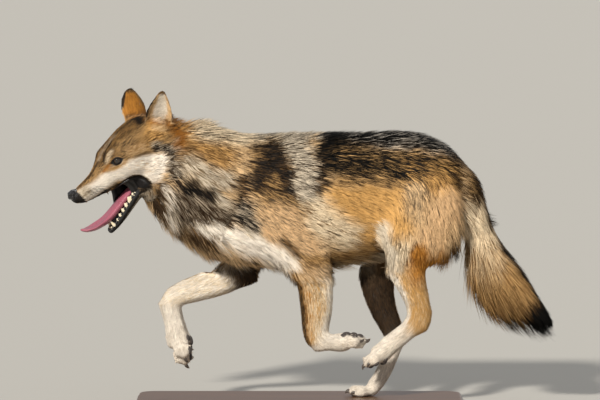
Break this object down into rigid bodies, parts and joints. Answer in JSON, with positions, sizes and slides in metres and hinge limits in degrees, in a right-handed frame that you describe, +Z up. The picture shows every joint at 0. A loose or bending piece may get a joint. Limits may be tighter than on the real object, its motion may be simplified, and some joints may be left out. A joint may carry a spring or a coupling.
{
  "type": "wolf",
  "caption": "Life-size still model of a small grey wolf in mid-trot, mouth open and tongue out, held on a flat wooden base by its planted hind paw.",
  "frame": {"origin": "centre of the underside of the wooden base, at floor level", "axes": "+Z up, -X the way the wolf faces, -Y towards the wolf's left side"},
  "size_m": [1.2137, 0.34, 0.8002],
  "materials": {
    "coat": "grizzled fur of tan, cream, grey, rufous and black hair",
    "nose": "moist black pebbled skin, also the lips and pads",
    "tongue": "wet pink flesh, also the gums",
    "tooth": "smooth ivory enamel",
    "claw": "dark horn, worn dull",
    "eye": "wet dark amber eye with a black pupil",
    "stand": "oiled dark hardwood board"
  },
  "bodies": {
    "root": {"head": "coat", "neck": "coat", "trunk": "coat", "tail": "coat", "upper_arm_left": "coat", "forearm_left": "coat", "forepaw_left": "coat", "upper_arm_right": "coat", "forearm_right": "coat", "forepaw_right": "coat", "thigh_left": "coat", "shank_left": "coat", "hindpaw_left": "coat", "thigh_right": "coat", "shank_right": "coat", "hindpaw_right": "coat", "lower_jaw": "coat", "ear_left": "coat", "ear_right": "coat", "nose": "nose", "tongue": "tongue", "eye_left": "eye", "eye_right": "eye", "stand_base": "stand"}
  },
  "joints": []
}
